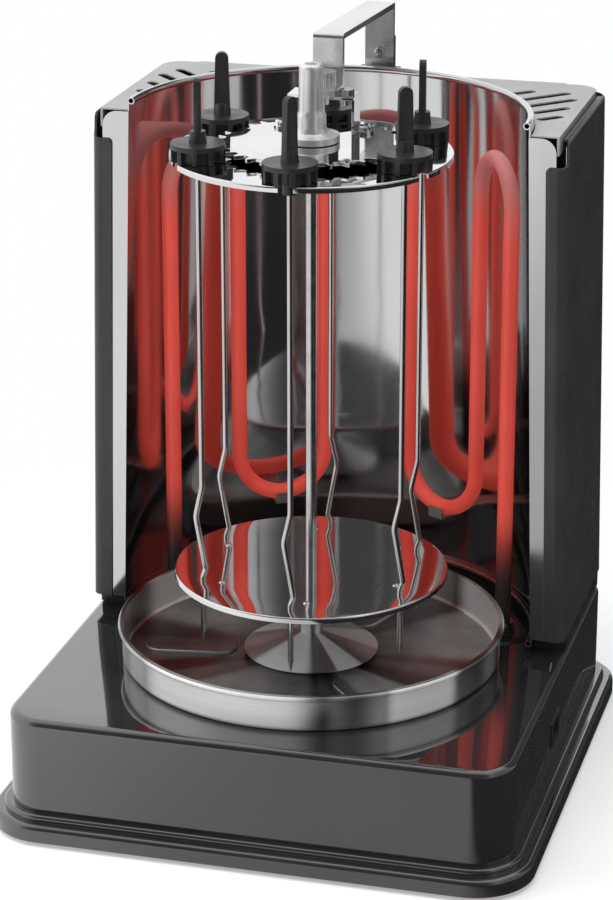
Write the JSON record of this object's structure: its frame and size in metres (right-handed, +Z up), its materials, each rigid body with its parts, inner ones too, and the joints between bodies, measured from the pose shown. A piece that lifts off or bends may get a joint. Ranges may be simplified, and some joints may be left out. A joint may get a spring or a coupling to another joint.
{
  "type": "tabletop skewer grill",
  "caption": "Upright electric kebab grill: glossy base, half-round heated reflector housing, drip tray and a motor-driven carousel whose skewers turn on a fixed toothed plate.",
  "frame": {"origin": "on the table under the middle of the plinth", "axes": "+X to the user's right, +Y to the rear, +Z up"},
  "size_m": [0.288, 0.292, 0.3979],
  "materials": {
    "black_gloss": "high gloss",
    "black_rubber": "matt",
    "plated_screw": "zinc plated",
    "motor_steel": "zinc plated",
    "shaft_steel": "ground",
    "white_nylon": "moulded",
    "spun_steel": "spun and brushed",
    "polished_chrome": "polished",
    "mirror_steel": "mirror polished sheet",
    "turned_aluminium": "turned, satin",
    "brass_bush": "turned",
    "skewer_steel": "bright drawn",
    "black_moulded": "fine satin",
    "black_enamel": "satin enamel",
    "grey_enamel": "satin enamel",
    "heater_tube": "oxidised tube, red when hot",
    "ceramic_black": "matt",
    "wire_cover": "matt"
  },
  "bodies": {
    "grill_body": {"base_shell": "black_gloss", "plinth": "black_gloss", "rubber_feet": "black_rubber", "plinth_screws": "plated_screw", "gear_motor": "motor_steel", "motor_screws": "plated_screw", "drip_tray": "spun_steel", "sun_gear": "polished_chrome", "hold_down_bracket": "polished_chrome", "bracket_rivets": "plated_screw", "bracket_bolt": "plated_screw", "support_arm": "polished_chrome", "arm_foot": "black_moulded", "arm_screws": "plated_screw", "housing_foot": "black_moulded", "reflector": "mirror_steel", "left_panel": "black_enamel", "right_panel": "black_enamel", "rear_panel": "black_enamel", "top_cover": "grey_enamel", "rear_screws": "plated_screw", "heating_element": "heater_tube", "heater_bushings": "ceramic_black", "bushing_rings": "plated_screw", "heater_clips": "spun_steel", "switch_housing": "black_moulded", "cable_gland": "black_rubber", "terminal_block": "white_nylon", "wiring": "wire_cover"},
    "carousel": {"motor_shaft": "shaft_steel", "drive_coupler": "white_nylon", "spit_sleeve": "spun_steel", "drip_cone": "spun_steel", "spit_rod": "shaft_steel", "lower_disc": "polished_chrome", "carrier_hub": "turned_aluminium", "carrier_disc": "polished_chrome", "spacer_bush": "brass_bush", "top_post": "turned_aluminium"},
    "skewer_1": {"skewer_head_1": "black_moulded", "skewer_rod_1": "skewer_steel"},
    "skewer_2": {"skewer_head_2": "black_moulded", "skewer_rod_2": "skewer_steel"},
    "skewer_3": {"skewer_head_3": "black_moulded", "skewer_rod_3": "skewer_steel"},
    "skewer_4": {"skewer_head_4": "black_moulded", "skewer_rod_4": "skewer_steel"},
    "skewer_5": {"skewer_head_5": "black_moulded", "skewer_rod_5": "skewer_steel"},
    "skewer_6": {"skewer_head_6": "black_moulded", "skewer_rod_6": "skewer_steel"},
    "rocker_switch": {"rocker": "black_gloss"},
    "clamp_screw": {"thumb_screw": "turned_aluminium"}
  },
  "joints": [
    {"name": "carousel_spin", "type": "hinge", "parent": "grill_body", "child": "carousel", "pos_m": [0, -0.014, 0.2], "axis": [0, 0, 1], "continuous": true},
    {"name": "skewer_spin_1", "type": "hinge", "parent": "carousel", "child": "skewer_1", "pos_m": [0.04956, 0.0207, 0.2], "axis": [0, 0, 1], "continuous": true},
    {"name": "skewer_spin_2", "type": "hinge", "parent": "carousel", "child": "skewer_2", "pos_m": [-0.00527, 0.04627, 0.2], "axis": [0, 0, 1], "continuous": true},
    {"name": "skewer_spin_3", "type": "hinge", "parent": "carousel", "child": "skewer_3", "pos_m": [-0.05483, 0.01157, 0.2], "axis": [0, 0, 1], "continuous": true},
    {"name": "skewer_spin_4", "type": "hinge", "parent": "carousel", "child": "skewer_4", "pos_m": [-0.04956, -0.0487, 0.2], "axis": [0, 0, 1], "continuous": true},
    {"name": "skewer_spin_5", "type": "hinge", "parent": "carousel", "child": "skewer_5", "pos_m": [0.00527, -0.07427, 0.2], "axis": [0, 0, 1], "continuous": true},
    {"name": "skewer_spin_6", "type": "hinge", "parent": "carousel", "child": "skewer_6", "pos_m": [0.05483, -0.03957, 0.2], "axis": [0, 0, 1], "continuous": true},
    {"name": "switch_rock", "type": "hinge", "parent": "grill_body", "child": "rocker_switch", "pos_m": [0.13179, -0.0133, 0.0373], "axis": [0, 0, 1], "range_deg": [-18, 0]},
    {"name": "clamp_turn", "type": "hinge", "parent": "grill_body", "child": "clamp_screw", "pos_m": [0, 0.011, 0.37], "axis": [0, 0, 1], "range_deg": [0, 720]}
  ],
  "couplings": [
    {"joint": "skewer_spin_1", "follows": "carousel_spin", "ratio": 3.4},
    {"joint": "skewer_spin_2", "follows": "carousel_spin", "ratio": 3.4},
    {"joint": "skewer_spin_3", "follows": "carousel_spin", "ratio": 3.4},
    {"joint": "skewer_spin_4", "follows": "carousel_spin", "ratio": 3.4},
    {"joint": "skewer_spin_5", "follows": "carousel_spin", "ratio": 3.4},
    {"joint": "skewer_spin_6", "follows": "carousel_spin", "ratio": 3.4}
  ]
}
